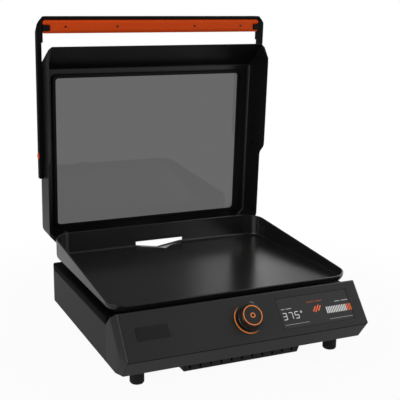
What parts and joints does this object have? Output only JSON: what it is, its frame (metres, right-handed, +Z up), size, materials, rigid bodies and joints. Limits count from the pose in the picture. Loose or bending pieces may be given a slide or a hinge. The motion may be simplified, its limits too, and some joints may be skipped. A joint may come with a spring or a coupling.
{
  "type": "tabletop electric griddle",
  "caption": "Tabletop electric griddle with a sloped control console, a drained cooking plate and a hinged hood with a window, shown open.",
  "frame": {"origin": "on the table under the middle of the outline with the hood open, within 3 mm front to back", "axes": "+Z up, +Y to the rear where the hood is hinged, controls face -Y"},
  "size_m": [0.621, 0.6134, 0.7453],
  "materials": {
    "plate_coating": "dark speckled non-stick",
    "console_plastic": "fine satin",
    "tub_plastic": "fine matte",
    "collar_plastic": "matte",
    "sheet_steel": "plain sheet",
    "element_steel": "dark oxidised",
    "foot_rubber": "matte",
    "vent_plastic": "matte",
    "lens_plastic": "polished",
    "device_plastic": "matte",
    "board": "solder mask",
    "knob_plastic": "satin",
    "glow_plastic": "lit",
    "hood_enamel": "satin enamel",
    "window_glass": "tinted",
    "seal_rubber": "matte",
    "frame_enamel": "satin enamel",
    "hinge_steel": "black oxide",
    "arm_paint": "satin",
    "grip_plastic": "satin",
    "fastener_steel": "dark",
    "cup_metal": "drawn sheet",
    "inlet_plastic": "matte"
  },
  "bodies": {
    "base": {"griddle_plate": "plate_coating", "console_housing": "console_plastic", "base_tub": "tub_plastic", "support_collar": "collar_plastic", "reflector_pan": "sheet_steel", "heating_element": "element_steel", "element_clamps": "sheet_steel", "plate_posts": "element_steel", "temperature_probe": "sheet_steel", "thermal_cutout": "device_plastic", "foot_front_left": "foot_rubber", "foot_front_right": "foot_rubber", "foot_rear_left": "foot_rubber", "foot_rear_right": "foot_rubber", "front_vent_grille": "vent_plastic", "display_lens": "lens_plastic", "display_module": "device_plastic", "encoder_body": "device_plastic", "knob_light_ring": "glow_plastic", "control_board": "board", "power_relay": "device_plastic", "hinge_bracket_left": "hinge_steel", "hinge_bracket_right": "hinge_steel", "hinge_pin_left": "fastener_steel", "hinge_pin_right": "fastener_steel", "bracket_bolts": "fastener_steel", "grease_cup_rails": "hinge_steel", "power_inlet": "inlet_plastic"},
    "hood": {"hood_shell": "hood_enamel", "hood_glass": "window_glass", "glass_seal": "seal_rubber", "window_frame": "frame_enamel", "hood_lug_left": "hinge_steel", "hood_lug_right": "hinge_steel", "handle_arm_left": "arm_paint", "handle_arm_right": "arm_paint", "arm_cap_left": "grip_plastic", "arm_cap_right": "grip_plastic", "handle_crossbar": "arm_paint", "handle_grip": "grip_plastic", "grip_screws": "fastener_steel", "grip_clips": "inlet_plastic", "arm_bolts": "fastener_steel"},
    "dial_press": {"encoder_plunger": "device_plastic"},
    "dial": {"encoder_shaft": "sheet_steel", "control_knob": "knob_plastic", "knob_face_ring": "glow_plastic"},
    "cup": {"grease_cup": "cup_metal"}
  },
  "joints": [
    {"name": "hood_hinge", "type": "hinge", "parent": "base", "child": "hood", "pos_m": [0, 0.249, 0.198], "axis": [1, 0, 0], "range_deg": [0, 87.7]},
    {"name": "dial_press", "type": "slide", "parent": "base", "child": "dial_press", "axis": [0, 0.7843, -0.6203], "range_m": [0, 0.0015], "stiffness_N_per_m": 1000, "springref_m": -0.002},
    {"name": "dial_turn", "type": "hinge", "parent": "dial_press", "child": "dial", "pos_m": [0, -0.27173, 0.12219], "axis": [0, -0.7843, 0.6203], "continuous": true},
    {"name": "grease_cup_slide", "type": "slide", "parent": "base", "child": "cup", "axis": [0, 1, 0], "range_m": [0, 0.075]}
  ]
}
